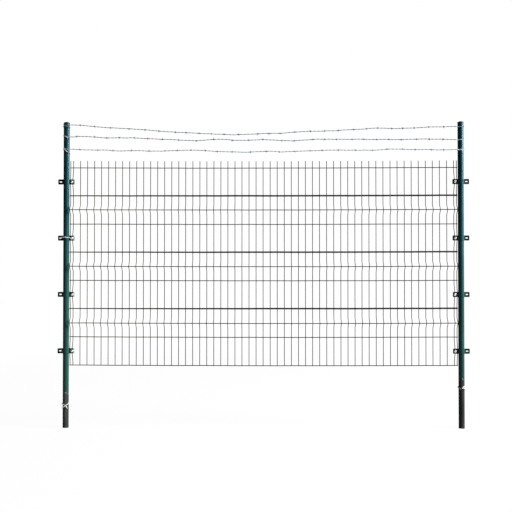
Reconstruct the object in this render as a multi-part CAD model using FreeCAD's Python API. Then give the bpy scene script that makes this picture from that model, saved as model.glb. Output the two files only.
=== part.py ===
import FreeCAD, Part
import math
import os

# One bay of a welded mesh fence: two round posts, a folded mesh panel held by
# eight two-part clamps, and three strands of barbed wire above the panel.
# Millimetres. X runs along the fence, the front looks along -Y, Z is up.
# The origin is the centre of the left post's foot.

# Posts
post_diameter = 42.4
post_wall = 2.0
post_height = 2170.0         # foot to the top of the cap
cap_rise = 6.0               # rise of the cap's sloping top
cap_crown = 16.0             # width of the flat at the top of the slope
cap_rim = 5.0                # straight edge under the slope
cap_lip = 0.8                # how far the rim stands out past the tube
cap_plug_depth = 22.0
cap_plug_play = 0.25
cap_plug_wall = 2.0

# Mesh panel
upright_pitch = 50.0
upright_count = 55           # evenly pitched uprights, without the two edge wires
edge_wire_gap = 20.0         # from the last pitched upright to the edge wire
edge_wire_to_post = 8.8      # from the middle of the edge wire to the surface of the post
upright_wire = 5.0
cross_wire = 6.0
flat_row_pitch = 200.0
fold_row_pitch = 100.0
fold_count = 3
fold_depth = 30.0
fold_half_height = 36.0
fold_sink = 1.0              # the nose of a fold is welded this far into its cross wire
panel_bottom = 442.0         # height of the lowest cross wire
prong_length = 50.0          # uprights above the highest cross wire
upright_foot = 3.0           # uprights below the middle of the lowest cross wire
cross_wire_end = 4.0         # cross wire past the middle of the edge wire
mesh_parts = ["mesh_left", "mesh_middle", "mesh_right"]

# Clamps
clamp_places = ["bottom", "lower", "upper", "top"]
strap_thickness = 2.5
strap_height = 36.0
strap_play = 0.2             # between the strap and the post
ear_reach = 37.0             # past the surface of the post
ear_corner = 5.0
ear_bend = 4.0               # fillet between the ring and the ear
slot_width = 9.0
slot_length = 20.0

# Barbed wire and tie wires
strand_diameter = 4.0
winding_turns = 2
corner_share = 0.45          # of the shorter run beside a corner, taken up by its arc
tie_diameter = 3.0
left_tie_height = 149.0
right_tie_height = 285.0
# route of each strand: (share of the way from post to post, depth below the top of the posts)
strand_routes = {
    "barbed_wire_top": [(0.0, 20.0), (0.12, 45.0), (0.4, 92.0), (0.56, 81.0), (0.72, 60.0), (1.0, 37.0)],
    "barbed_wire_middle": [(0.0, 103.0), (0.12, 114.0), (0.34, 136.0), (0.6, 131.0), (1.0, 129.0)],
    "barbed_wire_bottom": [(0.0, 196.0), (0.2, 206.0), (0.46, 216.0), (0.82, 198.0), (1.0, 203.0)],
}

post_radius = post_diameter / 2
edge_wire_offset = (upright_count - 1) * upright_pitch / 2 + edge_wire_gap
post_spacing = 2 * (edge_wire_offset + edge_wire_to_post + post_radius)
bolt_offset = post_radius + edge_wire_to_post + edge_wire_gap / 2
tube_height = post_height - cap_rise - cap_rim
fold_slope = math.atan2(fold_depth, fold_half_height)


def vector(x, y, z):
    return FreeCAD.Vector(x, y, z)


def box(low, high):
    size = [b - a for a, b in zip(low, high)]
    return Part.makeBox(size[0], size[1], size[2], vector(*low))


def ring(inner, outer, height, centre):
    solid = Part.makeCylinder(outer, height, centre)
    return solid.cut(Part.makeCylinder(inner, height, centre))


def save(shape, name):
    shape.exportStep("parts/" + name + ".step")


# Cross wires, from the lowest up: a flat stretch, then two rows to each fold
def row_heights():
    rows = [panel_bottom]
    for _ in range(fold_count):
        rows.append(rows[-1] + flat_row_pitch)
        rows.append(rows[-1] + fold_row_pitch)
        rows.append(rows[-1] + fold_row_pitch)
    rows.append(rows[-1] + flat_row_pitch)
    return rows


def fold_rows():
    return row_heights()[2::3][:fold_count]


# The top row of each fold is two cross wires, one lying on the other
def twin_wires():
    return [height + cross_wire for height in row_heights()[3::3]]


def flat_middles():
    rows = row_heights()
    return [(rows[i] + rows[i + 1]) / 2 for i in range(0, len(rows), 3)]


# Side view of one upright: a band of the wire's thickness along its middle line
def upright_face():
    line = [(0.0, panel_bottom - upright_foot)]
    for height in fold_rows():
        line.append((0.0, height - fold_half_height))
        line.append((-fold_depth, height))
        line.append((0.0, height + fold_half_height))
    line.append((0.0, row_heights()[-1] + prong_length))
    slopes = [math.atan2(b[0] - a[0], b[1] - a[1]) for a, b in zip(line, line[1:])]
    front = []
    back = []
    for i, (y, z) in enumerate(line):
        before = slopes[max(i - 1, 0)]
        after = slopes[min(i, len(slopes) - 1)]
        middle = (before + after) / 2
        reach = upright_wire / 2 / math.cos((after - before) / 2)
        front.append(vector(0, y - reach * math.cos(middle), z + reach * math.sin(middle)))
        back.append(vector(0, y + reach * math.cos(middle), z - reach * math.sin(middle)))
    outline = front + back[::-1]
    return Part.Face(Part.makePolygon(outline + outline[:1]))


def upright_places():
    middle = post_spacing / 2
    first = middle - (upright_count - 1) * upright_pitch / 2
    pitched = [first + i * upright_pitch for i in range(upright_count)]
    return [middle - edge_wire_offset] + pitched + [middle + edge_wire_offset]


def cross_bar(start, end, height):
    back = -upright_wire / 2
    if height in fold_rows():
        back = -fold_depth - upright_wire / 2 / math.cos(fold_slope) + fold_sink
    half = cross_wire / 2
    return box((start, back - cross_wire, height - half), (end, back, height + half))


# The panel is one welded net, split across its cross wires into equal parts
def mesh():
    places = upright_places()
    profile = upright_face()
    share = len(places) / len(mesh_parts)
    bounds = [round(i * share) for i in range(len(mesh_parts) + 1)]
    for name, low, high in zip(mesh_parts, bounds, bounds[1:]):
        start = places[0] - cross_wire_end
        end = places[-1] + cross_wire_end
        if low > 0:
            start = (places[low - 1] + places[low]) / 2
        if high < len(places):
            end = (places[high - 1] + places[high]) / 2
        bars = []
        for place in places[low:high]:
            bar = profile.extrude(vector(upright_wire, 0, 0))
            bar.translate(vector(place - upright_wire / 2, 0, 0))
            bars.append(bar)
        for height in row_heights() + twin_wires():
            bars.append(cross_bar(start, end, height))
        net = bars[0].multiFuse(bars[1:]).removeSplitter()
        save(net, name)


def post(x):
    return ring(post_radius - post_wall, post_radius, tube_height, vector(x, 0, 0))


# Cap on a tube's end: a rim with a sloping top, over a hollow plug inside the tube
def cap(x):
    rim = post_radius + cap_lip
    plug = post_radius - post_wall - cap_plug_play
    roof = tube_height + cap_rim / 2
    foot = tube_height - cap_plug_depth
    outline = [
        (0, roof),
        (plug - cap_plug_wall, roof),
        (plug - cap_plug_wall, foot),
        (plug, foot),
        (plug, tube_height),
        (rim, tube_height),
        (rim, tube_height + cap_rim),
        (cap_crown / 2, post_height),
        (0, post_height),
        (0, roof),
    ]
    side = Part.Face(Part.makePolygon([vector(r, 0, z) for r, z in outline]))
    solid = side.revolve(vector(0, 0, 0), vector(0, 0, 1), 360)
    solid.translate(vector(x, 0, 0))
    return solid


def slot(x, depth):
    half = (slot_length - slot_width) / 2
    radius = slot_width / 2
    through = box((x - half, -depth, -radius), (x + half, depth, radius))
    for end in (x - half, x + half):
        round_end = Part.makeCylinder(radius, 2 * depth, vector(end, -depth, 0), vector(0, 1, 0))
        through = through.fuse(round_end)
    return through.removeSplitter()


# Edges whose middle stands at this distance from the post's axis along X, and passes the test
def edges_at(solid, distance, test):
    found = []
    for edge in solid.Edges:
        middle = edge.CenterOfMass
        if meets(middle.x, distance) and test(middle):
            found.append(edge)
    return found


# Whether a place is this far from the middle, on either side
def meets(place, distance):
    return abs(abs(place) - distance) < 0.01


# Front half of a clamp round a post at the origin: half a ring, and two flat
# ears whose inner faces are one wire's thickness apart from the rear half's
def clamp_half():
    inner = post_radius + strap_play
    outer = inner + strap_thickness
    face = -upright_wire / 2
    ear = face - strap_thickness
    low = -strap_height / 2
    reach = post_radius + ear_reach
    band = ring(inner, outer, strap_height, vector(0, 0, low))
    front = box((-outer, -outer, low), (outer, face, -low))
    solid = band.common(front)
    for start, end in ((inner, reach), (-reach, -inner)):
        solid = solid.fuse(box((start, ear, low), (end, face, -low)))
    solid = solid.removeSplitter()
    bend_at = math.sqrt(outer ** 2 - ear ** 2)
    bends = edges_at(solid, bend_at, lambda middle: meets(middle.y, -ear))
    solid = solid.makeFillet(ear_bend, bends)
    tips = edges_at(solid, reach, lambda middle: meets(middle.z, -low))
    solid = solid.makeFillet(ear_corner, tips)
    for side in (-1, 1):
        solid = solid.cut(slot(side * bolt_offset, outer))
    return solid


def clamps():
    front = clamp_half()
    rear = front.mirror(vector(0, 0, 0), vector(0, 1, 0))
    for side, x in (("left", 0.0), ("right", post_spacing)):
        for place, height in zip(clamp_places, flat_middles()):
            for half, shape in (("front", front), ("rear", rear)):
                piece = shape.copy()
                piece.translate(vector(x, 0, height))
                save(piece, "_".join([side, "clamp", place, half]))


# A strand's middle line: straight runs joined by arcs as large as they fit
def strand_path(route, y):
    points = [vector(share * post_spacing, y, post_height - depth) for share, depth in route]
    edges = []
    last = points[0]
    for a, b, c in zip(points, points[1:], points[2:]):
        before = (b - a).normalize()
        after = (c - b).normalize()
        turn = math.acos(min(1.0, before.dot(after)))
        trim = corner_share * min(a.distanceToPoint(b), b.distanceToPoint(c))
        radius = trim / math.tan(turn / 2)
        inward = (after - before).normalize()
        centre = b + inward * (radius / math.cos(turn / 2))
        start = b - before * trim
        middle = centre - inward * radius
        end = b + after * trim
        edges.append(Part.makeLine(last, start))
        edges.append(Part.Arc(start, middle, end).toShape())
        last = end
        print("strand arc radius", round(radius))
    edges.append(Part.makeLine(last, points[-1]))
    return Part.Wire(edges)


# A strand runs across the front of the posts and is wound round each of them
def strand(route):
    y = -post_radius - strand_diameter / 2
    path = strand_path(route, y)
    start = path.Edges[0].Vertexes[0].Point
    end = path.Edges[-1].Vertexes[-1].Point
    tangent = path.Edges[0].tangentAt(path.Edges[0].FirstParameter)
    section = Part.Wire([Part.makeCircle(strand_diameter / 2, start, tangent)])
    solid = path.makePipeShell([section], True, False)
    band = winding_turns * strand_diameter
    for point in (start, end):
        low = vector(point.x, 0, point.z - band / 2)
        solid = solid.fuse(ring(post_radius, post_radius + strand_diameter, band, low))
    return solid.removeSplitter()


def foot_tie(x, height):
    return ring(post_radius, post_radius + tie_diameter, tie_diameter, vector(x, 0, height))


def main():
    os.makedirs("parts", exist_ok=True)
    for side, x in (("left", 0.0), ("right", post_spacing)):
        save(post(x), side + "_post")
        save(cap(x), side + "_post_cap")
    mesh()
    clamps()
    for name, route in strand_routes.items():
        save(strand(route), name)
    save(foot_tie(0.0, left_tie_height), "left_foot_tie")
    save(foot_tie(post_spacing, right_tie_height), "right_foot_tie")


main()
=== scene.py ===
import bpy
import bmesh
import math
import random
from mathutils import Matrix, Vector


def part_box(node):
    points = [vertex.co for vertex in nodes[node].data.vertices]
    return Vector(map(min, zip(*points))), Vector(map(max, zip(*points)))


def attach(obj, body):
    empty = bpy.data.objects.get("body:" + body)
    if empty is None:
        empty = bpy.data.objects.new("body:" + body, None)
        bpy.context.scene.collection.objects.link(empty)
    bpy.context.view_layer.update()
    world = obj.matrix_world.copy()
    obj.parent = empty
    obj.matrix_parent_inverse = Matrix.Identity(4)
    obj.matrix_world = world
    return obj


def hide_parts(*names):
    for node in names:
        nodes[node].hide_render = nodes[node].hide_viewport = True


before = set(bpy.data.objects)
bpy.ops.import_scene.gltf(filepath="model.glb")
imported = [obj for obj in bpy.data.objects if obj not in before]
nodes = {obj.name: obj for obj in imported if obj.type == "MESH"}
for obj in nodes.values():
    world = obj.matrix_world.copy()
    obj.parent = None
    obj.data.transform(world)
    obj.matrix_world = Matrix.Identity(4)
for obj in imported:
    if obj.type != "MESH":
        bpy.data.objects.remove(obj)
for startupName in ("Cube", "Light", "Camera"):  # not there in an empty file
    if startupName in bpy.data.objects:
        bpy.data.objects.remove(bpy.data.objects[startupName])
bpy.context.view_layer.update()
random.seed(11)
print("frame loaded,", len(nodes), "nodes")

# Places and sizes read from the frame, in metres
leftPostLow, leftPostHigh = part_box("left_post")
rightPostLow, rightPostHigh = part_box("right_post")
postRadius = (leftPostHigh.x - leftPostLow.x) / 2
leftX = (leftPostLow.x + leftPostHigh.x) / 2
rightX = (rightPostLow.x + rightPostHigh.x) / 2
bayMiddle = (leftX + rightX) / 2
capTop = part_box("left_post_cap")[1].z
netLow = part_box("mesh_left")[0]
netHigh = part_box("mesh_right")[1]
clampPlaces = ("bottom", "lower", "upper", "top")


def middleHeight(node):
    low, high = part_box(node)
    return (low.z + high.z) / 2


clampHeights = {place: middleHeight("left_clamp_" + place + "_front") for place in clampPlaces}

# Middle of each clamp bolt from its post's axis, toward the net
boltOffsets = {
    "left": {"bottom": 0.0435, "lower": 0.0435, "upper": 0.0405, "top": 0.0380},
    "right": {"bottom": 0.0425, "lower": 0.0425, "upper": 0.0385, "top": 0.0390},
}


# Small tools for picking, copying and finishing pieces
smoothAngle = 50  # degrees


def deselectAll():
    bpy.ops.object.select_all(action="DESELECT")


def pick(*pieces):  # the last one becomes the active one
    deselectAll()
    for piece in pieces:
        piece.select_set(True)
    bpy.context.view_layer.objects.active = pieces[-1]


def applyPlace(piece):
    pick(piece)
    bpy.ops.object.transform_apply(location=True, rotation=True, scale=True)


def copyOf(piece, move=(0, 0, 0)):
    pick(piece)
    bpy.ops.object.duplicate(linked=False)
    twin = bpy.context.active_object
    twin.location = twin.location + Vector(move)
    return twin


def joinPieces(pieces, name):
    pick(*pieces)
    if len(pieces) > 1:
        bpy.ops.object.join()
    whole = bpy.context.active_object
    whole.name = name
    whole.data.name = name
    applyPlace(whole)
    return whole


def selectFaces(test):  # in edit mode, by place and normal
    mesh = bmesh.from_edit_mesh(bpy.context.active_object.data)
    for face in mesh.faces:
        face.select_set(test(face))
    bmesh.update_edit_mesh(bpy.context.active_object.data)


def applyModifiers(piece):
    pick(piece)
    for modifier in list(piece.modifiers):
        bpy.ops.object.modifier_apply(modifier=modifier.name)


def outwardNormals(piece):
    pick(piece)
    bpy.ops.object.mode_set(mode="EDIT")
    bpy.ops.mesh.select_all(action="SELECT")
    bpy.ops.mesh.normals_make_consistent(inside=False)
    bpy.ops.object.mode_set(mode="OBJECT")


def finishPiece(piece, material, slot, *replaced):
    pick(piece)
    bpy.ops.object.shade_smooth_by_angle(angle=math.radians(smoothAngle))
    piece.data.materials.clear()
    piece.data.materials.append(material)
    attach(piece, "root")
    if replaced:
        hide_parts(*replaced)
    print(piece.name, len(piece.data.polygons), "faces")


# Camera, from the photo's viewing angle
camera = {
    "place": (1.406, -5.7, 1.119),
    "tiltUp": 0.96,  # degrees
    "turnLeft": 0.57,
    "lens": 56.5,
    "sensor": 36,
    "farthest": 60,
}


def addCamera():
    turn = (math.radians(90 + camera["tiltUp"]), 0, math.radians(camera["turnLeft"]))
    bpy.ops.object.camera_add(location=camera["place"], rotation=turn)
    view = bpy.context.active_object
    view.name = "photoCamera"
    view.data.lens = camera["lens"]
    view.data.sensor_width = camera["sensor"]
    view.data.clip_end = camera["farthest"]
    bpy.context.scene.camera = view


addCamera()
print("camera placed")


# Material tools
noiseRoughness = 0.55


def newMaterial(name):
    material = bpy.data.materials.new(name)
    material.use_nodes = True
    tree = material.node_tree
    return material, tree, tree.nodes["Principled BSDF"]


def addNode(tree, kind, inputs=None, **settings):
    made = tree.nodes.new(kind)
    for key, value in settings.items():
        setattr(made, key, value)
    for key, value in (inputs or {}).items():
        if isinstance(value, bpy.types.NodeSocket):
            tree.links.new(value, made.inputs[key])
        else:
            made.inputs[key].default_value = value
    return made


def objectPlace(tree, stretch=(1, 1, 1)):
    coords = addNode(tree, "ShaderNodeTexCoord")
    mapping = addNode(tree, "ShaderNodeMapping", {"Vector": coords.outputs["Object"], "Scale": stretch})
    return mapping.outputs["Vector"]


def grain(tree, look):  # noise with the look's scale, detail and stretch
    settings = {"Vector": objectPlace(tree, look.get("stretch", (1, 1, 1))), "Scale": look["scale"],
                "Detail": look["detail"], "Roughness": noiseRoughness}
    return addNode(tree, "ShaderNodeTexNoise", settings).outputs["Fac"]


def axisValue(tree, axis):
    split = addNode(tree, "ShaderNodeSeparateXYZ", {"Vector": objectPlace(tree)})
    return split.outputs[axis]


def math2(tree, operation, a, b=0.0):
    made = addNode(tree, "ShaderNodeMath", {0: a, 1: b}, operation=operation)
    return made.outputs[0]


def span(tree, value, low, high, toLow=0.0, toHigh=1.0):
    made = addNode(tree, "ShaderNodeMapRange",
                   {"Value": value, "From Min": low, "From Max": high, "To Min": toLow, "To Max": toHigh},
                   interpolation_type="SMOOTHSTEP")
    return made.outputs["Result"]


def patches(tree, look):  # the look's noise, stretched to its full reach between two edges
    return span(tree, grain(tree, look), *look["edges"], *look.get("reach", (0, 1)))


def mixColour(tree, factor, first, second):
    made = addNode(tree, "ShaderNodeMix", data_type="RGBA")
    for index, value in ((0, factor), (6, first), (7, second)):
        if isinstance(value, bpy.types.NodeSocket):
            tree.links.new(value, made.inputs[index])
        elif index == 0:
            made.inputs[index].default_value = value
        else:
            made.inputs[index].default_value = (*value, 1)
    return made.outputs[2]


def layOver(tree, colour, layer):  # the layer's colour over the first one, in patches
    return mixColour(tree, patches(tree, layer), colour, layer["colour"])


def coverBase(tree, shader, cover, colour):  # a colour over the finished base colour
    before = shader.inputs["Base Color"].links[0].from_socket
    tree.links.new(mixColour(tree, cover, before, colour), shader.inputs["Base Color"])


def addBump(tree, shader, height, bump):
    made = addNode(tree, "ShaderNodeBump",
                   {"Height": height, "Strength": bump["strength"], "Distance": bump["depth"]})
    tree.links.new(made.outputs["Normal"], shader.inputs["Normal"])


# Green powder coat of posts and clamps: cooler and glossier toward the top, chalky in places
greenCoat = {
    "low": {"left": (0.031, 0.150, 0.112), "right": (0.011, 0.075, 0.060)},
    "high": {"left": (0.005, 0.108, 0.128), "right": (0.003, 0.078, 0.104)},
    "hueSpan": (0.4, 1.9),
    "chalk": {"colour": (0.045, 0.170, 0.170), "scale": 7, "detail": 5,
              "edges": (0.45, 0.75), "reach": (0, 0.5)},
    "streaks": {"colour": (0.002, 0.040, 0.045), "scale": 60, "detail": 5, "stretch": (1, 1, 0.03),
                "edges": (0.5, 0.8), "reach": (0, 0.55)},
    "chips": {"colour": (0.16, 0.18, 0.17), "scale": 240, "detail": 3,
              "edges": (0.70, 0.74), "reach": (0, 0.8)},
    "specular": {"left": 0.30, "right": 0.36},
    "specularTint": (0.60, 0.92, 1.0),
    "roughness": (0.56, 0.19),  # low down and at the top
    "glossSpan": (1.0, 1.9),
    "glossPatches": {"scale": 18, "detail": 4, "edges": (0.3, 0.7), "reach": (-0.04, 0.04)},
}


def greenCoatNodes(tree, shader, side):  # returns the colour and the roughness
    height = axisValue(tree, "Z")
    hue = span(tree, height, *greenCoat["hueSpan"])
    colour = mixColour(tree, hue, greenCoat["low"][side], greenCoat["high"][side])
    for layer in ("chalk", "streaks", "chips"):
        colour = layOver(tree, colour, greenCoat[layer])
    gloss = span(tree, height, *greenCoat["glossSpan"], *greenCoat["roughness"])
    patch = patches(tree, greenCoat["glossPatches"])
    shader.inputs["Specular IOR Level"].default_value = greenCoat["specular"][side]
    shader.inputs["Specular Tint"].default_value = (*greenCoat["specularTint"], 1)
    return colour, math2(tree, "ADD", gloss, patch)


# The foot of each post: grey with dirt below a lime-white edge, with a painted brown reflection of the ground
# and painted shade low on the side away from the light, and darker and greener on the side toward the light,
# partly the coat showing and partly painted shade
postFoot = {
    "grey": {"left": (0.150, 0.145, 0.138), "right": (0.062, 0.060, 0.057)},
    "dark": {"left": (0.080, 0.074, 0.066), "right": (0.016, 0.015, 0.013)},
    "grimeAndShade": {"scale": 26, "detail": 6, "stretch": (1, 1, 0.25), "edges": (0.42, 0.72)},
    "lightSideShade": {"left": (0.060, 0.078, 0.068), "right": (0.048, 0.047, 0.045)},
    "lightSideShadeSpan": (0.004, 0.015),  # from the post's axis to the right
    "top": {"left": 0.244, "right": 0.350},
    "topBlur": 0.008,
    "ragged": {"scale": 34, "detail": 5, "stretch": (1, 1, 0.35)},
    "raggedHeight": 0.05,
    "roughness": 0.8,
    "shadeSideTone": {"left": (0.030, 0.026, 0.012), "right": (0.010, 0.010, 0.007)},
    "shadeSideSpan": (-0.003, -0.013),  # from the post's axis
    "shadeSideHeights": (0.75, 0.1),
    "shadeSideCover": 0.9,
    "lime": (0.60, 0.62, 0.60),
    "limeHalf": (0.006, 0.0024),  # off the ragged edge, where the line ends and where it is full
    "limeBreaks": {"scale": 110, "detail": 3, "stretch": (1, 1, 0.4), "edges": (0.44, 0.56)},
    "limeSpan": (-0.012, 0.0),  # from the post's axis
}
postPeel = {
    "fine": {"scale": 700, "detail": 2},
    "coarse": {"scale": 60, "detail": 5},
    "coarseShare": 1.5,
    "strength": 0.2,
    "depth": 0.0005,
}


def postMaterial(side, postX):
    material, tree, shader = newMaterial(side + "PostPaint")
    colour, rough = greenCoatNodes(tree, shader, side)
    height = axisValue(tree, "Z")
    across = math2(tree, "SUBTRACT", axisValue(tree, "X"), postX)
    ragged = math2(tree, "MULTIPLY", grain(tree, postFoot["ragged"]), postFoot["raggedHeight"])
    edge = math2(tree, "ADD", height, ragged)
    top = postFoot["top"][side] + postFoot["raggedHeight"] / 2
    foot = span(tree, edge, top + postFoot["topBlur"], top - postFoot["topBlur"])
    grimeAndShade = patches(tree, postFoot["grimeAndShade"])
    footColour = mixColour(tree, grimeAndShade, postFoot["grey"][side], postFoot["dark"][side])
    # toward the light the foot is painted darker and greener: partly the coat showing through, partly painted
    # shade
    lightSideShade = span(tree, across, *postFoot["lightSideShadeSpan"])
    footColour = mixColour(tree, lightSideShade, footColour, postFoot["lightSideShade"][side])
    colour = mixColour(tree, foot, colour, footColour)
    # low on the side away from the light: a painted brown reflection of the ground, and painted shade
    away = span(tree, across, *postFoot["shadeSideSpan"])
    low = span(tree, height, *postFoot["shadeSideHeights"], 0, postFoot["shadeSideCover"])
    colour = mixColour(tree, math2(tree, "MULTIPLY", away, low), colour, postFoot["shadeSideTone"][side])
    offEdge = math2(tree, "ABSOLUTE", math2(tree, "SUBTRACT", edge, top))
    line = span(tree, offEdge, *postFoot["limeHalf"])
    toLight = span(tree, across, *postFoot["limeSpan"])
    broken = math2(tree, "MULTIPLY", patches(tree, postFoot["limeBreaks"]), toLight)
    colour = mixColour(tree, math2(tree, "MULTIPLY", line, broken), colour, postFoot["lime"])
    tree.links.new(colour, shader.inputs["Base Color"])
    dull = math2(tree, "MAXIMUM", rough, math2(tree, "MULTIPLY", foot, postFoot["roughness"]))
    tree.links.new(dull, shader.inputs["Roughness"])
    coarse = math2(tree, "MULTIPLY", grain(tree, postPeel["coarse"]), postPeel["coarseShare"])
    addBump(tree, shader, math2(tree, "ADD", grain(tree, postPeel["fine"]), coarse), postPeel)
    return material


# The clamps' coat: the posts' green on the straps and painted shade, uneven in patches, on the flat ears; the
# left ears are painted pale at their ends toward the net, partly bare metal and partly a painted highlight of
# the bolt heads' glare
clampCoat = {
    "grimeAndShade": (0.002, 0.012, 0.015),
    "earShadeSpan": (0.0205, 0.0255),  # from the post's axis, where an ear begins
    "earShadePatches": {"scale": 90, "detail": 5, "edges": (0.5, 0.8), "reach": (1, 0.6)},
    "wearAndGlare": (0.96, 0.96, 0.95),
    "glareSpan": (0.052, 0.054),
    "glareRagged": {"scale": 150, "detail": 4},
    "glareUneven": 0.004,
    "bump": {"scale": 800, "detail": 3, "strength": 0.3, "depth": 0.0005},
}


def clampMaterial(side, postX):
    material, tree, shader = newMaterial(side + "ClampPaint")
    colour, rough = greenCoatNodes(tree, shader, side)
    across = math2(tree, "SUBTRACT", axisValue(tree, "X"), postX)
    # painted shade on the flat ears, uneven in patches
    ear = span(tree, math2(tree, "ABSOLUTE", across), *clampCoat["earShadeSpan"])
    earShade = math2(tree, "MULTIPLY", ear, patches(tree, clampCoat["earShadePatches"]))
    colour = mixColour(tree, earShade, colour, clampCoat["grimeAndShade"])
    # pale ends of the left ears: partly bare metal, partly a painted highlight of the bolt heads' glare
    if side == "left":
        ragged = math2(tree, "MULTIPLY", grain(tree, clampCoat["glareRagged"]), clampCoat["glareUneven"])
        wearAndGlare = span(tree, math2(tree, "ADD", across, ragged), *clampCoat["glareSpan"])
        colour = mixColour(tree, wearAndGlare, colour, clampCoat["wearAndGlare"])
    tree.links.new(colour, shader.inputs["Base Color"])
    tree.links.new(rough, shader.inputs["Roughness"])
    addBump(tree, shader, grain(tree, clampCoat["bump"]), clampCoat["bump"])
    return material


# Dark olive coat of the net's wires, painted lighter and warmer toward the left as a painted pool of warm
# light, dirty in patches, and darker just below the prongs' tips over part of the bay
netPaint = {
    "left": (0.130, 0.108, 0.036),
    "right": (0.034, 0.035, 0.031),
    "hueSpan": (0.3, 0.85),
    "dirt": (0.012, 0.012, 0.010),
    "dirtPatches": {"scale": 5, "detail": 5, "edges": (0.46, 0.66), "reach": (0, 0.75)},
    "prongs": (0.05, 0.03),  # below their tips, where their darkening begins and where it is full
    "prongCover": 0.8,
    "prongSpan": (0.3, 0.7),
    "wearAndGlare": {"colour": (0.12, 0.12, 0.11), "scale": 130, "detail": 3,
             "edges": (0.62, 0.72), "reach": (0, 0.5)},
    "specular": 0.08,
    "roughness": {"scale": 30, "detail": 4, "edges": (0.3, 0.7), "reach": (0.45, 0.65)},
    "bump": {"scale": 900, "detail": 3, "strength": 0.3, "depth": 0.0004},
}


def netMaterial():
    material, tree, shader = newMaterial("netPaint")
    across = axisValue(tree, "X")
    # lighter and warmer toward the left: a painted pool of warm light
    colour = mixColour(tree, span(tree, across, *netPaint["hueSpan"]), netPaint["left"], netPaint["right"])
    dirt = patches(tree, netPaint["dirtPatches"])
    begin, full = [netHigh.z - below for below in netPaint["prongs"]]
    # darker just below the prongs' tips, over part of the bay's width
    prongs = span(tree, axisValue(tree, "Z"), begin, full, 0, netPaint["prongCover"])
    prongs = math2(tree, "MULTIPLY", prongs, span(tree, across, *netPaint["prongSpan"]))
    colour = mixColour(tree, math2(tree, "MAXIMUM", dirt, prongs), colour, netPaint["dirt"])
    colour = layOver(tree, colour, netPaint["wearAndGlare"])
    tree.links.new(colour, shader.inputs["Base Color"])
    tree.links.new(patches(tree, netPaint["roughness"]), shader.inputs["Roughness"])
    shader.inputs["Specular IOR Level"].default_value = netPaint["specular"]
    addBump(tree, shader, grain(tree, netPaint["bump"]), netPaint["bump"])
    return material


# Black plastic caps, a little bleached in patches
capPlastic = {
    "black": (0.010, 0.013, 0.016),
    "bleached": {"colour": (0.022, 0.027, 0.031), "scale": 45, "detail": 5,
                 "edges": (0.45, 0.75), "reach": (0, 0.7)},
    "roughness": {"scale": 70, "detail": 4, "edges": (0.3, 0.7), "reach": (0.5, 0.68)},
    "specular": 0.2,
    "bump": {"scale": 600, "detail": 4, "strength": 0.35, "depth": 0.0006},
}


def capMaterial():
    material, tree, shader = newMaterial("capPlastic")
    colour = layOver(tree, capPlastic["black"], capPlastic["bleached"])
    tree.links.new(colour, shader.inputs["Base Color"])
    tree.links.new(patches(tree, capPlastic["roughness"]), shader.inputs["Roughness"])
    shader.inputs["Specular IOR Level"].default_value = capPlastic["specular"]
    addBump(tree, shader, grain(tree, capPlastic["bump"]), capPlastic["bump"])
    return material


# Zinc: the barbed wire, the ties and the bolts, each with its own tone and size of grain
zincGrain = {
    "spangle": {"finer": 1, "detail": 5, "edges": (0.35, 0.68)},
    "gloss": {"finer": 0.6, "detail": 4, "edges": (0.3, 0.7)},
    "bump": {"finer": 4, "detail": 3, "strength": 0.25, "depth": 0.0003},
}


def zincMaterial(name, zinc):
    material, tree, shader = newMaterial(name)
    looks = {key: {**look, "scale": zinc["scale"] * look["finer"]} for key, look in zincGrain.items()}
    spangle = patches(tree, looks["spangle"])
    tree.links.new(mixColour(tree, spangle, zinc["bright"], zinc["dull"]), shader.inputs["Base Color"])
    gloss = patches(tree, {**looks["gloss"], "reach": zinc["roughness"]})
    tree.links.new(gloss, shader.inputs["Roughness"])
    shader.inputs["Metallic"].default_value = zinc["metallic"]
    addBump(tree, shader, grain(tree, looks["bump"]), looks["bump"])
    return material


# The lowest strand is the palest, and its windings carry the brightest painted highlight
strandZinc = {
    "bright": (0.20, 0.31, 0.44),
    "dull": (0.08, 0.14, 0.21),
    "metallic": 0.35,
    "roughness": (0.4, 0.6),
    "scale": 120,
    "tones": {"barbed_wire_top": 0.9, "barbed_wire_middle": 0.75, "barbed_wire_bottom": 1.6},
    "windingHighlight": {"barbed_wire_top": (0.36, 0.41, 0.46), "barbed_wire_middle": (0.80, 0.86, 0.90),
               "barbed_wire_bottom": (0.88, 0.92, 0.95)},
    "windingHighlightSpan": (0.033, 0.027),  # from a post's axis
    "windingHighlightPatches": {"scale": 50, "detail": 3, "edges": (0.38, 0.52), "reach": (0.5, 1)},
    "windingShadeSpan": (0.002, 0.012),  # to the right of the right post's axis, where the windings' painted highlight gives way to painted shade
    "windingShadeCover": (1, 0.1),
}


def paintWindingHighlights(material, colour):  # the windings are painted brighter near the posts: a painted highlight, uneven in patches
    tree = material.node_tree
    shader = tree.nodes["Principled BSDF"]
    fromMiddle = math2(tree, "ABSOLUTE", math2(tree, "SUBTRACT", axisValue(tree, "X"), bayMiddle))
    fromPost = math2(tree, "ABSOLUTE", math2(tree, "SUBTRACT", fromMiddle, (rightX - leftX) / 2))
    # painted highlight on the windings near each post
    windingHighlight = span(tree, fromPost, *strandZinc["windingHighlightSpan"])
    windingHighlight = math2(tree, "MULTIPLY", windingHighlight, patches(tree, strandZinc["windingHighlightPatches"]))
    # the painted highlight is cut back on the right post's far side: painted shade on the windings there
    fromRight = math2(tree, "SUBTRACT", axisValue(tree, "X"), rightX)
    turned = span(tree, fromRight, *strandZinc["windingShadeSpan"], *strandZinc["windingShadeCover"])
    coverBase(tree, shader, math2(tree, "MULTIPLY", windingHighlight, turned), colour)


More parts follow.
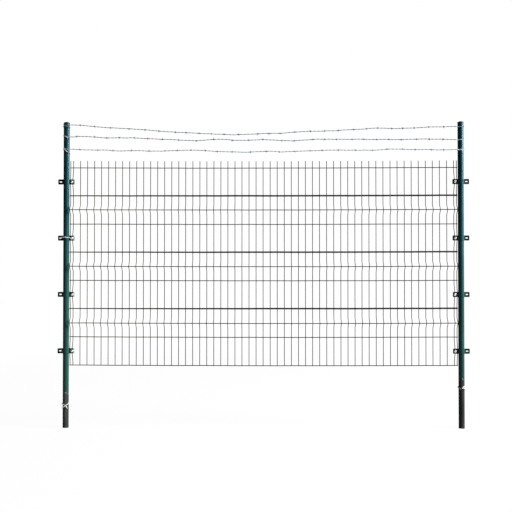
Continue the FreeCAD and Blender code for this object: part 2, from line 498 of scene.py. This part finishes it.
def strandMaterial(node, name):
    tone = strandZinc["tones"][node]
    toned = {key: [tone * part for part in strandZinc[key]] for key in ("bright", "dull")}
    material = zincMaterial(name, {**strandZinc, **toned})
    paintWindingHighlights(material, strandZinc["windingHighlight"][node])
    return material


# Ties, with painted shade on the side of the right post that is away from the light
tieCoat = {
    "bright": (0.97, 0.96, 0.94),
    "dull": (0.86, 0.85, 0.83),
    "metallic": 0.9,
    "roughness": (0.35, 0.5),
    "scale": 160,
    "shadeSideTone": (0.20, 0.19, 0.18),
    "shadeSideSpan": (0.003, -0.004),  # from the right post's axis
    "shadeEndSpan": (-0.2, -0.1),  # so far to the left of it the painted shade ends
}


def tieMaterial():
    material = zincMaterial("tieZinc", tieCoat)
    tree = material.node_tree
    across = math2(tree, "SUBTRACT", axisValue(tree, "X"), rightX)
    # painted shade on the ties beside the right post, on its side away from the light
    away = span(tree, across, *tieCoat["shadeSideSpan"])
    away = math2(tree, "MULTIPLY", away, span(tree, across, *tieCoat["shadeEndSpan"]))
    coverBase(tree, tree.nodes["Principled BSDF"], away, tieCoat["shadeSideTone"])
    return material


boltCoat = {
    "bright": (0.97, 0.98, 0.99),
    "dull": (0.86, 0.88, 0.90),
    "metallic": 1.0,
    "roughness": (0.28, 0.45),
    "scale": 220,
}
tieZinc = tieMaterial()
boltZinc = zincMaterial("boltZinc", boltCoat)
netCoat = netMaterial()
capBlack = capMaterial()
print("materials made")


# Wires: a point is extruded along the line in edit mode, its corners are rounded and it is made thick
cornerSteps = 4
seedSize = 0.01
nearEnd = 1e-6


def bendWire(name, points, radius, corner=0.0, sideSteps=2, tipShare=1.0):
    deselectAll()
    bpy.ops.mesh.primitive_plane_add(size=seedSize, location=(0, 0, 0))
    bpy.ops.object.mode_set(mode="EDIT")
    bpy.ops.mesh.merge(type="CENTER")
    bpy.ops.transform.translate(value=points[0])
    for start, end in zip(points, points[1:]):
        step = Vector(end) - Vector(start)
        bpy.ops.mesh.extrude_region_move(TRANSFORM_OT_translate={"value": step})
    if corner:
        ends = (Vector(points[0]), Vector(points[-1]))
        line = bmesh.from_edit_mesh(bpy.context.active_object.data)
        for vertex in line.verts:
            vertex.select_set(min((vertex.co - end).length for end in ends) > nearEnd)
        line.select_flush_mode()
        bmesh.update_edit_mesh(bpy.context.active_object.data)
        bpy.ops.mesh.bevel(offset=corner, segments=cornerSteps, affect="VERTICES")
    bpy.ops.object.mode_set(mode="OBJECT")
    bpy.ops.object.convert(target="CURVE")
    line = bpy.context.active_object.data
    line.bevel_depth = radius
    line.bevel_resolution = sideSteps
    line.use_fill_caps = True
    line.splines[0].points[0].radius = tipShare
    line.splines[0].points[-1].radius = tipShare
    bpy.ops.object.convert(target="MESH")
    wire = bpy.context.active_object
    wire.name = name
    return wire


# The welded net: uprights bent into three folds, cross wires over them, a weld at each crossing
net = {
    "uprightRadius": 0.0025,
    "crossRadius": 0.003,
    "pitch": 0.05,
    "count": 55,
    "uneven": 0.0004,
    "edgeGap": 0.02,
    "crossEnd": 0.004,
    "crossPieces": 26,
    "crossUneven": 0.0005,
    "crossSideSteps": 3,
    "rows": [0.0, 0.2, 0.3, 0.4, 0.6, 0.7, 0.8, 1.0, 1.1, 1.2, 1.4],  # above the lowest cross wire
    "noseRows": [0.3, 0.7, 1.1],
    "twinRows": [0.4, 0.8, 1.2],
    "twinTurn": (12, 84),  # degrees: the second wire lies before the first at the left and climbs over it
    "twinClimb": 0.6,  # of the bay's width
    "footLength": 0.003,
    "foldDepth": 0.030,
    "foldHalf": 0.036,
    "bendCorner": 0.008,
    "sink": 0.0004,  # how far the welded wires press into each other
    "sag": 0.0034,  # at the middle of the bay
    "pinch": {"edge": 0.003, "first": 0.0065},  # the outer uprights are drawn to the post at each clamp
    "pinchHalf": 0.075,
    "pinchShares": (-1, -0.5, -0.25, 0.25, 0.5, 1),  # of it, where the upright bends
    "boltPass": 0.0087,  # from a bolt's middle to the bend of the upright that passes it between the ears
    "weld": (0.0040, 0.0018, 0.0040),
    "weldSides": 8,
    "weldRings": 4,
}
netStart = netLow.x + net["crossEnd"]
netEnd = netHigh.x - net["crossEnd"]
lowestRow = netLow.z + net["footLength"]
crossFront = -net["uprightRadius"] - net["crossRadius"] + net["sink"]
noseRound = math.atan2(net["foldDepth"], net["foldHalf"])
noseRetreat = net["bendCorner"] / math.tan(noseRound) * (1 / math.cos(noseRound) - 1)


def uprightLine(x, pinch=0.0, boltPasses=None):
    noses = [lowestRow + rise for rise in net["noseRows"]]
    line = [(x, 0, netLow.z)]
    for nose in noses:
        line.append((x, 0, nose - net["foldHalf"]))
        line.append((x, -net["foldDepth"] - noseRetreat, nose))
        line.append((x, 0, nose + net["foldHalf"]))
    line.append((x, 0, netHigh.z))
    if pinch:
        for place, height in clampHeights.items():
            for share in net["pinchShares"]:
                pull = pinch * (1 + math.cos(math.pi * share)) / 2
                line.append((x + pull, 0, height + share * net["pinchHalf"]))
            line.append((boltPasses[place] if boltPasses else x + pinch, 0, height))
        line.sort(key=lambda point: point[2])
    return line


def buildUprights():
    plain = bendWire("upright", uprightLine(0), net["uprightRadius"], net["bendCorner"])
    first = netStart + net["edgeGap"]
    wires = []
    for index in range(1, net["count"] - 1):
        shift = random.uniform(-net["uneven"], net["uneven"])
        wires.append(copyOf(plain, (first + index * net["pitch"] + shift, 0, 0)))
    bpy.data.objects.remove(plain)
    last = first + (net["count"] - 1) * net["pitch"]
    pinches = net["pinch"]
    leftPass = {place: leftX + offset + net["boltPass"] for place, offset in boltOffsets["left"].items()}
    rightPass = {place: rightX - offset - net["boltPass"] for place, offset in boltOffsets["right"].items()}
    for x, pull, boltPasses in ((netStart, -pinches["edge"], None), (first, -pinches["first"], leftPass),
                                (last, pinches["first"], rightPass), (netEnd, pinches["edge"], None)):
        line = uprightLine(x, pull, boltPasses)
        wires.append(bendWire("edgeUpright", line, net["uprightRadius"], net["bendCorner"]))
    return joinPieces(wires, "netUprights")


def crossPlaces():  # (height, y) of each cross wire's middle
    places = []
    for rise in net["rows"]:
        forward = net["foldDepth"] if rise in net["noseRows"] else 0
        places.append((lowestRow + rise, crossFront - forward))
    return places


def twinShift(share):  # from the first wire of a pair to the second, at this share of the bay's width
    start, end = net["twinTurn"]
    turn = math.radians(start + (end - start) * min(1, share / net["twinClimb"]))
    reach = 2 * net["crossRadius"]
    return -reach * math.cos(turn), reach * math.sin(turn)


def buildCrossWires():
    wires = []
    pieces = net["crossPieces"]
    uneven = net["crossUneven"]
    radius, sideSteps = net["crossRadius"], net["crossSideSteps"]
    for rise, (height, front) in zip(net["rows"], crossPlaces()):
        line = []
        for index in range(pieces + 1):
            x = netLow.x + (netHigh.x - netLow.x) * index / pieces
            line.append((x, front, height + random.uniform(-uneven, uneven)))
        wires.append(bendWire("crossWire", line, radius, sideSteps=sideSteps))
        if rise in net["twinRows"]:
            shifts = [twinShift(index / pieces) for index in range(pieces + 1)]
            second = [(x, y + forward, z + up) for (x, y, z), (forward, up) in zip(line, shifts)]
            wires.append(bendWire("twinWire", second, radius, sideSteps=sideSteps))
    return joinPieces(wires, "netCrossWires")


def buildWelds():
    deselectAll()
    bpy.ops.mesh.primitive_uv_sphere_add(segments=net["weldSides"], ring_count=net["weldRings"], radius=1)
    weld = bpy.context.active_object
    weld.scale = net["weld"]
    applyPlace(weld)
    first = netStart + net["edgeGap"]
    outer = [copyOf(weld, (netStart, 0, 0)), copyOf(weld, (netEnd, 0, 0))]
    weld.location.x = first
    applyPlace(weld)
    spread = weld.modifiers.new("alongRow", "ARRAY")
    spread.use_relative_offset = False
    spread.use_constant_offset = True
    spread.constant_offset_displace = (net["pitch"], 0, 0)
    spread.count = net["count"]
    applyModifiers(weld)
    row = joinPieces([*outer, weld], "weldRow")
    contact = net["crossRadius"] - net["sink"] / 2
    rows = [copyOf(row, (0, front + contact, height)) for height, front in crossPlaces()]
    bpy.data.objects.remove(row)
    return joinPieces(rows, "netWelds")


def sagNet(piece):  # the whole net hangs a little lower in the middle of the bay
    half = (netEnd - netStart) / 2
    for vertex in piece.data.vertices:
        share = (vertex.co.x - bayMiddle) / half
        vertex.co.z -= net["sag"] * max(0.0, 1 - share * share)


uprights = buildUprights()
crossWires = buildCrossWires()
welds = buildWelds()
for netPiece in (uprights, crossWires, welds):
    sagNet(netPiece)
finishPiece(uprights, netCoat, "mesh_coating", "mesh_left", "mesh_middle", "mesh_right")
finishPiece(crossWires, netCoat, "mesh_coating")
finishPiece(welds, netCoat, "mesh_coating")


# Posts, caps and clamps keep their own shape and get their finish
def finishNodes():
    for side, postX in (("left", leftX), ("right", rightX)):
        nodes[side + "_post"].data.materials[0] = postMaterial(side, postX)
        nodes[side + "_post_cap"].data.materials[0] = capBlack
        clampPaint = clampMaterial(side, postX)
        for place in clampPlaces:
            for half in ("front", "rear"):
                nodes["_".join([side, "clamp", place, half])].data.materials[0] = clampPaint


finishNodes()
print("posts, caps and clamps finished")

# Clamp bolts: cup head in front, washer, nut and thread behind
bolt = {
    "headRadius": 0.0102,
    "headRim": 0.0008,
    "headRise": 0.0045,  # of the dome over its rim
    "headRings": 5,
    "roundSides": 28,  # of the head and the washer
    "earFace": 0.005,  # outer face of an ear, from the middle of the net
    "washerRadius": 0.0085,
    "washerThick": 0.0016,
    "washerChamfer": 0.0005,
    "nutRadius": 0.0075,
    "nutThick": 0.0065,
    "nutChamfer": 0.0008,
    "nutSides": 6,
    "shankRadius": 0.004,
    "shankSides": 16,
    "threadSteps": 7,
    "threadPitch": 0.00125,
    "threadWaist": 0.84,  # of the shank's radius
    "facing": 0.9,  # least part of a face's normal along Y, for it to count as an end
}


def addDrum(sides, radius, start, end):  # a cylinder along Y
    bpy.ops.mesh.primitive_cylinder_add(vertices=sides, radius=radius, depth=end - start,
                                        location=(0, (start + end) / 2, 0), rotation=(math.radians(90), 0, 0))
    drum = bpy.context.active_object
    applyPlace(drum)
    return drum


def chamferEdges(piece, width):
    bevel = piece.modifiers.new("edges", "BEVEL")
    bevel.width = width
    bevel.segments = 2
    bevel.limit_method = "ANGLE"
    applyModifiers(piece)


def domeRings():  # (radius, height over the rim) of each ring of the bolt head
    reach, rise = bolt["headRadius"], bolt["headRise"]
    ball = (reach * reach + rise * rise) / (2 * rise)
    edgeTilt = math.asin(reach / ball)
    rings = []
    for step in range(bolt["headRings"] + 1):
        tilt = edgeTilt * (1 - step / (bolt["headRings"] + 1))
        rings.append((ball * math.sin(tilt), ball * (math.cos(tilt) - math.cos(edgeTilt))))
    return rings


def buildBolt():
    deselectAll()
    front = -bolt["earFace"]
    head = addDrum(bolt["roundSides"], bolt["headRadius"], front - bolt["headRim"], front)
    bpy.ops.object.mode_set(mode="EDIT")
    selectFaces(lambda face: face.normal.y < -bolt["facing"])
    rings = domeRings()
    for (reach, height), (nextReach, nextHeight) in zip(rings, rings[1:]):
        bpy.ops.mesh.inset(thickness=reach - nextReach, depth=nextHeight - height)
    bpy.ops.object.mode_set(mode="OBJECT")
    back = bolt["earFace"]
    washer = addDrum(bolt["roundSides"], bolt["washerRadius"], back, back + bolt["washerThick"])
    chamferEdges(washer, bolt["washerChamfer"])
    nutStart = back + bolt["washerThick"]
    nut = addDrum(bolt["nutSides"], bolt["nutRadius"], nutStart, nutStart + bolt["nutThick"])
    chamferEdges(nut, bolt["nutChamfer"])
    threadStart = nutStart + bolt["nutThick"]
    shank = addDrum(bolt["shankSides"], bolt["shankRadius"], front, threadStart)
    bpy.ops.object.mode_set(mode="EDIT")
    selectFaces(lambda face: face.normal.y > bolt["facing"])
    for step in range(bolt["threadSteps"]):
        narrow = bolt["threadWaist"] if step % 2 == 0 else 1 / bolt["threadWaist"]
        bpy.ops.mesh.extrude_region_move(TRANSFORM_OT_translate={"value": (0, bolt["threadPitch"] / 2, 0)})
        bpy.ops.transform.resize(value=(narrow, 1, narrow), center_override=(0, 0, 0))
    bpy.ops.object.mode_set(mode="OBJECT")
    return joinPieces([head, washer, nut, shank], "clampBolt")


def buildBolts():
    pattern = buildBolt()
    for side, postX, toward in (("left", leftX, 1), ("right", rightX, -1)):
        copies = []
        for place in clampPlaces:
            x = postX + toward * boltOffsets[side][place]
            twin = copyOf(pattern, (x, 0, clampHeights[place]))
            twin.rotation_euler.y = random.uniform(0, math.pi)
            copies.append(twin)
        finishPiece(joinPieces(copies, side + "ClampBolts"), boltZinc, "bolt_zinc")
    bpy.data.objects.remove(pattern)


buildBolts()

# Barbed wire: two plies twisted together, barbs wound on, both ends wound round the posts
strands = {
    "plyRadius": 0.0014,
    "lay": 0.052,  # length of one twist
    "laySteps": 10,
    "plySides": 7,
    "front": -postRadius - 0.0029,  # middle of the strand where it crosses a post
    "windingStep": 30,
    "lift": 0.0045,
    "liftSpan": (250, 320),  # degrees round the post, where the second turn climbs on the first
    "wave": 0.0019,
    "waveForward": 0.6,  # of the wave's height
    "wavePoints": 66,
    "cornerWindow": 0.012,
    "cornerSamples": 3,  # on each side
    "barbPitch": 0.105,
    "barbUneven": 0.28,
    "barbSizes": (0.8, 1.15),
    "barbClear": 0.07,  # no barb nearer to a post
    "barbStart": 0.04,  # the first one is up to so much farther
    # route: (share of the way from post to post, depth below the top of the caps)
    "routes": {
        "barbed_wire_top": [
            (0.0, 0.026), (0.014, 0.021), (0.03, 0.026), (0.1, 0.045), (0.15, 0.049), (0.25, 0.073),
            (0.33, 0.085), (0.42, 0.098), (0.5, 0.088), (0.55, 0.087), (0.6, 0.073), (0.68, 0.070),
            (0.79, 0.050), (0.85, 0.055), (0.92, 0.045), (1.0, 0.041)],
        "barbed_wire_middle": [
            (0.0, 0.107), (0.008, 0.114), (0.04, 0.103), (0.1, 0.118), (0.17, 0.118), (0.25, 0.129),
            (0.34, 0.139), (0.385, 0.126), (0.43, 0.137), (0.5, 0.132), (0.57, 0.142),
            (0.63, 0.129), (0.78, 0.131), (0.84, 0.133), (0.91, 0.129), (1.0, 0.134)],
        "barbed_wire_bottom": [
            (0.0, 0.196), (0.05, 0.203), (0.1, 0.203), (0.145, 0.213), (0.18, 0.206), (0.225, 0.213),
            (0.32, 0.206), (0.39, 0.215), (0.46, 0.221), (0.515, 0.213), (0.55, 0.220), (0.61, 0.211),
            (0.7, 0.207), (0.77, 0.208), (0.83, 0.200), (0.9, 0.205), (0.96, 0.205), (1.0, 0.203)],
    },
    # windings: (degrees round the post from its front, rise), outward from the bay, and the tail's last step
    "windings": {
        "barbed_wire_top": {
            "left": [(0, 0.002), (60, -0.006), (90, -0.010), (180, -0.010), (270, -0.016), (330, -0.012),
                     (390, -0.002)],
            "leftTail": (-0.005, 0.002, 0.006),
            "right": [(0, -0.008), (50, -0.005), (90, 0.012), (180, 0.006), (210, 0.004)],
            "rightTail": (-0.004, -0.002, -0.003),
        },
        "barbed_wire_middle": {
            "left": [(0, 0), (60, 0.006), (90, 0.008), (180, 0.002), (270, -0.014), (330, -0.010),
                     (390, 0.004)],
            "leftTail": (-0.004, 0.001, 0.005),
            "right": [(0, 0.009), (45, 0.010), (90, 0.016), (180, 0.008), (210, 0.004)],
            "rightTail": (-0.004, -0.002, -0.003),
        },
        "barbed_wire_bottom": {
            "left": [(0, 0), (60, 0.003), (90, 0.002), (180, -0.010), (270, -0.036), (330, -0.022),
                     (390, 0.002)],
            "leftTail": (-0.004, 0.001, 0.007),
            "right": [(0, 0.004), (60, 0.003), (90, 0.008), (180, 0.004), (270, -0.004), (360, -0.005),
                      (390, -0.002)],
            "rightTail": (0.005, 0.001, 0.006),
        },
    },
}
barb = {
    "wireRadius": 0.0009,
    "coilRadius": 0.0038,
    "coilTurns": 2,
    "stepsPerTurn": 6,
    "coilPitch": 0.0021,
    "coils": ((0, -0.0022), (90, 0.0022)),  # degrees round the strand, and place along it
    "sideSteps": 1,
    "reach": 0.0125,
    "tip": 0.0030,
    "tipShare": 0.2,  # of the wire's radius
}


def between(pairs, value):  # straight-line look-up in a list of (value, result)
    for (a, first), (b, second) in zip(pairs, pairs[1:]):
        if value <= b:
            return first + (second - first) * (value - a) / (b - a)
    return pairs[-1][1]


def routeHeight(route, share):
    window = min(strands["cornerWindow"], share, 1 - share)  # rounds the route's corners
    steps = strands["cornerSamples"]
    samples = [share + window * step / steps for step in range(-steps, steps + 1)]
    return capTop - sum(between(route, sample) for sample in samples) / len(samples)


def windingPoints(postX, height, profile, direction, tail):
    points = []
    step = strands["windingStep"]
    liftStart, liftEnd = strands["liftSpan"]
    for degrees in range(step, profile[-1][0] + 1, step):
        angle = math.radians(degrees) * direction
        rise = between(profile, degrees)
        over = strands["lift"] * min(1, max(0, degrees - liftStart) / (liftEnd - liftStart))
        ring = over - strands["front"]
        points.append(Vector((postX + ring * math.sin(angle), -ring * math.cos(angle), height + rise)))
    points.append(points[-1] + Vector(tail))
    return points


def strandPoints(node):
    route = strands["routes"][node]
    windings = strands["windings"][node]
    startHeight = routeHeight(route, 0)
    endHeight = routeHeight(route, 1)
    left = windingPoints(leftX, startHeight, windings["left"], -1, windings["leftTail"])
    right = windingPoints(rightX, endHeight, windings["right"], 1, windings["rightTail"])
    middle = []
    count = strands["wavePoints"]
    for index in range(count + 1):
        share = index / count
        inner = 0 < index < count
        wave = strands["wave"] if inner else 0
        middle.append(Vector((leftX + (rightX - leftX) * share,
                              strands["front"] + random.uniform(-wave, wave) * strands["waveForward"],
                              routeHeight(route, share) + random.uniform(-wave, wave))))
    return left[::-1] + middle + right, len(left), len(right)


routeOrder = 3
routeSteps = 6
seamGap = 0.00002


def addRoute(name, points):
    deselectAll()
    bpy.ops.curve.primitive_nurbs_path_add()
    route = bpy.context.active_object
    route.name = name
    route.data.splines.clear()
    spline = route.data.splines.new("NURBS")
    spline.points.add(len(points) - 1)
    for target, point in zip(spline.points, points):
        target.co = (*point, 1)
    spline.order_u = routeOrder
    spline.use_endpoint_u = True
    spline.resolution_u = routeSteps
    return route


def lineOf(route):
    depsgraph = bpy.context.evaluated_depsgraph_get()
    mesh = bpy.data.meshes.new_from_object(route.evaluated_get(depsgraph))
    points = [vertex.co.copy() for vertex in mesh.vertices]
    bpy.data.meshes.remove(mesh)
    return points


def lengthOf(points):
    return sum((b - a).length for a, b in zip(points, points[1:]))


def buildTwist(length, cord):  # two plies along X, twisted by the Screw modifier
    plies = []
    for side in (1, -1):
        bpy.ops.mesh.primitive_circle_add(vertices=cord["plySides"], radius=cord["plyRadius"],
                                          location=(0, side * cord["plyRadius"], 0),
                                          rotation=(0, math.radians(90), 0))
        plies.append(bpy.context.active_object)
    twist = joinPieces(plies, "twist")
    turns = round(length / cord["lay"])
    screw = twist.modifiers.new("twist", "SCREW")
    screw.axis = "X"
    screw.angle = math.radians(360)
    screw.screw_offset = length / turns
    screw.iterations = turns
    screw.steps = cord["laySteps"]
    screw.render_steps = cord["laySteps"]
    applyModifiers(twist)
    bpy.ops.object.mode_set(mode="EDIT")
    bpy.ops.mesh.select_all(action="SELECT")
    bpy.ops.mesh.remove_doubles(threshold=seamGap)
    bpy.ops.mesh.select_all(action="SELECT")
    bpy.ops.mesh.fill_holes(sides=0)
    bpy.ops.object.mode_set(mode="OBJECT")
    return twist


def bendAlong(piece, route):
    bend = piece.modifiers.new("alongRoute", "CURVE")
    bend.object = route
    bend.deform_axis = "POS_X"
    applyModifiers(piece)
    bpy.data.objects.remove(route)
    outwardNormals(piece)


def buildBarb():  # two short wires, each wound twice round the strand with its ends left long
    coils = []
    radius = barb["coilRadius"]
    steps = barb["coilTurns"] * barb["stepsPerTurn"]
    half = barb["coilPitch"] * barb["coilTurns"] / 2
    for turned, shift in barb["coils"]:
        line = [(-half, radius, barb["reach"]), (-half, radius, barb["reach"] - barb["tip"])]
        for step in range(steps + 1):
            angle = 2 * math.pi * step / barb["stepsPerTurn"]
            along = -half + 2 * half * step / steps
            line.append((along, radius * math.cos(angle), -radius * math.sin(angle)))
        line.append((half, radius, -barb["reach"] + barb["tip"]))
        line.append((half, radius, -barb["reach"]))
        coil = bendWire("coil", line, barb["wireRadius"],
                        sideSteps=barb["sideSteps"], tipShare=barb["tipShare"])
        coil.location.x = shift
        coil.rotation_euler.x = math.radians(turned)
        applyPlace(coil)
        coils.append(coil)
    return joinPieces(coils, "barb")


def buildStrand(node, name, pattern):
    points, leftCount, rightCount = strandPoints(node)
    route = addRoute(name + "Route", points)
    line = lineOf(route)
    length = lengthOf(line)
    twist = buildTwist(length, strands)
    leftLength = lengthOf(points[:leftCount + 1])
    rightLength = lengthOf(points[-rightCount - 1:])
    pieces = [twist]
    uneven = strands["barbUneven"]
    along = leftLength + strands["barbClear"] + random.uniform(0, strands["barbStart"])
    while along < length - rightLength - strands["barbClear"]:
        twin = copyOf(pattern, (along, 0, 0))
        twin.rotation_euler.x = random.uniform(0, 2 * math.pi)
        size = random.uniform(*strands["barbSizes"])
        twin.scale = (1, size, size)
        pieces.append(twin)
        along += strands["barbPitch"] * random.uniform(1 - uneven, 1 + uneven)
    strand = joinPieces(pieces, name)
    bendAlong(strand, route)
    finishPiece(strand, strandMaterial(node, name + "Zinc"), "galvanised_wire", node)


barbPattern = buildBarb()
for strandPlace in ("top", "middle", "bottom"):
    buildStrand("barbed_wire_" + strandPlace, "barbedWire" + strandPlace.capitalize(), barbPattern)
bpy.data.objects.remove(barbPattern)

# Tie wires, laid double and twisted: one crossed over itself at the foot of each post, one over a clamp
ties = {
    "plyRadius": 0.0019,
    "plySides": 10,
    "lay": 0.024,  # length of one twist
    "laySteps": 12,
    # (degrees round the post from its front, rise): positive degrees are to the right
    "left": [(34, -0.012), (22, 0.002), (-6, 0.013), (-50, 0.019), (-90, 0.020), (-180, 0.012),
             (-270, 0.027), (-310, 0.022), (-360, 0.006), (-410, -0.009), (-450, -0.014), (-560, -0.006)],
    "right": [(62, -0.016), (40, -0.005), (0, -0.002), (-50, 0.000), (-90, 0.002), (-180, 0.003),
              (-270, 0.006), (-320, 0.009), (-345, 0.008), (-380, 0.000), (-395, -0.016)],
    "step": 12,
    "lift": 0.0045,  # of the first tail off the post, and of the second turn off the first
    "liftSpan": (-420, -300),  # degrees, where the second turn lies on the first
    # over the left upper clamp: out of its slot, round its strap, and down beside the bolt
    "fromSlot": [(-0.036, 0.010, -0.001), (-0.036, 0.002, 0.000), (-0.036, -0.007, 0.000),
                 (-0.0325, -0.0115, 0.005)],
    "strap": [(-60, 0.0070), (-30, 0.0078), (0, 0.0062), (25, 0.0024), (45, 0.0018), (60, 0.0030)],
    "strapStep": 15,
    "strapGap": 0.0005,
    "overBolt": [(0.0325, -0.0125, 0.0020), (0.038, -0.0150, -0.0020), (0.045, -0.0135, -0.0060)],
}


def tiePoints(postX, height, profile):
    ring = postRadius + 2 * ties["plyRadius"]
    start, tailEnd, end = profile[0][0], profile[1][0], profile[-1][0]
    liftLow, liftHigh = ties["liftSpan"]
    falling = [(-degrees, rise) for degrees, rise in profile]
    points = []
    for degrees in range(start, end - 1, -ties["step"]):
        lifted = degrees > tailEnd or liftLow < degrees < liftHigh
        reach = ring + (ties["lift"] if lifted else 0)
        angle = math.radians(degrees)
        rise = between(falling, -degrees)
        points.append(Vector((postX + reach * math.sin(angle), -reach * math.cos(angle), height + rise)))
    return points


def clampTiePoints():
    height = clampHeights["upper"]
    ring = -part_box("left_clamp_upper_front")[0].y + 2 * ties["plyRadius"] + ties["strapGap"]
    first, last = ties["strap"][0][0], ties["strap"][-1][0]
    places = list(ties["fromSlot"])
    for degrees in range(first, last + 1, ties["strapStep"]):
        angle = math.radians(degrees)
        places.append((ring * math.sin(angle), -ring * math.cos(angle), between(ties["strap"], degrees)))
    places.extend(ties["overBolt"])
    return [Vector((leftX + x, y, height + rise)) for x, y, rise in places]


def twistTie(name, points, *replaced):
    route = addRoute(name + "Route", points)
    tie = buildTwist(lengthOf(lineOf(route)), ties)
    tie.name = name
    tie.data.name = name
    bendAlong(tie, route)
    finishPiece(tie, tieZinc, "tie_wire", *replaced)


def buildTies():
    for side, postX in (("left", leftX), ("right", rightX)):
        node = side + "_foot_tie"
        twistTie(side + "FootTie", tiePoints(postX, middleHeight(node), ties[side]), node)
    twistTie("leftClampTie", clampTiePoints())


buildTies()

# Studio: pale floor, soft light from the right, dark cards on the left and in front seen only by gloss
studio = {
    "floorSize": 40,
    "floorColour": (0.08, 0.08, 0.08),
    "matt": 0.9,  # roughness of the floor and the cards
    "floorGlow": (0.95, 1.0),  # near the fence, where its shadow falls, and far from it
    "glowSpan": (3.0, 9.0),
    "ambient": 0.12,
    "lamps": {
        "key": {"azimuth": 76, "height": 26, "distance": 9, "size": (2.5, 5), "power": 1050},
    },
    "aim": (1.4, 0, 1.0),
    "cardColour": (0.01, 0.01, 0.01),
    "cards": {
        "left": {"place": (-4.0, 0.5, 2.0), "turn": (0, 90, 0), "size": (18, 18)},
        "front": {"place": (1.5, -9.0, 2.0), "turn": (90, 0, 0), "size": (11, 18)},
    },
}


def seenDirectly(tree):  # 1 where the camera, a reflection or a clear piece shows it, 0 where it only lights
    path = addNode(tree, "ShaderNodeLightPath")
    seen = math2(tree, "MAXIMUM", path.outputs["Is Camera Ray"], path.outputs["Is Glossy Ray"])
    return math2(tree, "MAXIMUM", seen, path.outputs["Is Transmission Ray"])


def addFloor():
    deselectAll()
    bpy.ops.mesh.primitive_plane_add(size=studio["floorSize"], location=(bayMiddle, 0, 0))
    floor = bpy.context.active_object
    floor.name = "studioFloor"
    material, tree, shader = newMaterial("floorPaint")
    shader.inputs["Base Color"].default_value = (*studio["floorColour"], 1)
    shader.inputs["Roughness"].default_value = studio["matt"]
    shader.inputs["Specular IOR Level"].default_value = 0.0
    seen = seenDirectly(tree)
    shader.inputs["Emission Color"].default_value = (1, 1, 1, 1)
    away = addNode(tree, "ShaderNodeVectorMath", {0: objectPlace(tree)}, operation="LENGTH")
    glow = span(tree, away.outputs["Value"], *studio["glowSpan"], *studio["floorGlow"])
    tree.links.new(math2(tree, "MULTIPLY", seen, glow), shader.inputs["Emission Strength"])
    floor.data.materials.append(material)


def addCards():
    material, tree, shader = newMaterial("cardBlack")
    shader.inputs["Base Color"].default_value = (*studio["cardColour"], 1)
    shader.inputs["Roughness"].default_value = studio["matt"]
    for name, card in studio["cards"].items():
        deselectAll()
        turn = [math.radians(angle) for angle in card["turn"]]
        bpy.ops.mesh.primitive_plane_add(size=1, location=card["place"], rotation=turn)
        piece = bpy.context.active_object
        piece.name = name + "Card"
        piece.scale = (*card["size"], 1)
        applyPlace(piece)
        piece.data.materials.append(material)
        piece.visible_camera = False
        piece.visible_diffuse = False
        piece.visible_shadow = False
        piece.visible_transmission = False


def addLamp(name, lamp):
    azimuth = math.radians(lamp["azimuth"])
    rise = math.radians(lamp["height"])
    aside, forward = math.sin(azimuth) * math.cos(rise), -math.cos(azimuth) * math.cos(rise)
    offset = Vector((aside, forward, math.sin(rise))) * lamp["distance"]
    bpy.ops.object.light_add(type="AREA", location=Vector(studio["aim"]) + offset)
    light = bpy.context.active_object
    light.name = name + "Lamp"
    light.data.shape = "RECTANGLE"
    light.data.size, light.data.size_y = lamp["size"]
    light.data.energy = lamp["power"]
    light.rotation_euler = (-offset).to_track_quat("-Z", "Y").to_euler()


def addWorld():
    world = bpy.data.worlds.new("studioWorld")
    bpy.context.scene.world = world
    world.use_nodes = True
    tree = world.node_tree
    background = tree.nodes["Background"]
    background.inputs["Color"].default_value = (1, 1, 1, 1)
    strength = span(tree, seenDirectly(tree), 0, 1, studio["ambient"], 1.0)
    tree.links.new(strength, background.inputs["Strength"])


addFloor()
addCards()
addWorld()
for lampName, lampSettings in studio["lamps"].items():
    addLamp(lampName, lampSettings)
bpy.context.scene.view_settings.view_transform = "Standard"
print("studio set")
